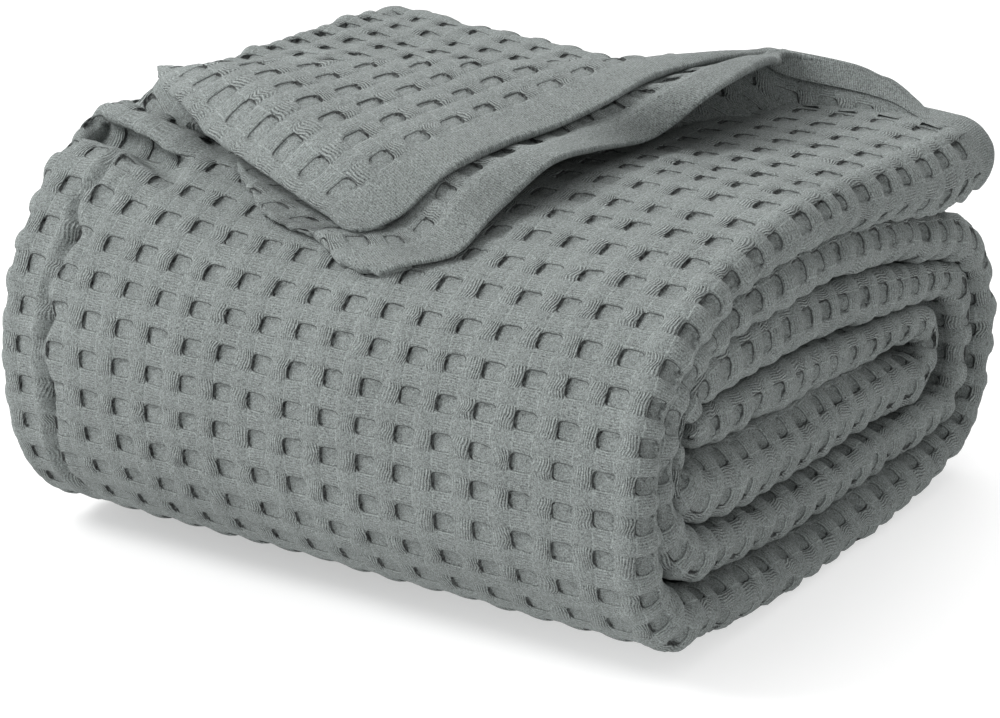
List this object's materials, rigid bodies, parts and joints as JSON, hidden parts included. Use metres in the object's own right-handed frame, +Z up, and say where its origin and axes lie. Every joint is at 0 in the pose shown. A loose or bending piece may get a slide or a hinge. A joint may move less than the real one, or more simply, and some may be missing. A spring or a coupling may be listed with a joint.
{
  "type": "folded waffle weave cotton blanket",
  "caption": "Waffle weave cotton blanket, folded into a strip and wound flat, with one corner of its free end turned back over the top.",
  "frame": {"origin": "on the surface the blanket lies on, under the middle of its bounding box", "axes": "+Z up; +X along the winding's axis, towards the end that shows the wound turns most cleanly; -Y towards the smooth front turn; the free end lies on top, towards +Y"},
  "size_m": [0.3182, 0.3016, 0.1825],
  "materials": {
    "waffle_cotton": "matte"
  },
  "bodies": {
    "root": {"blanket": "waffle_cotton"}
  },
  "joints": []
}
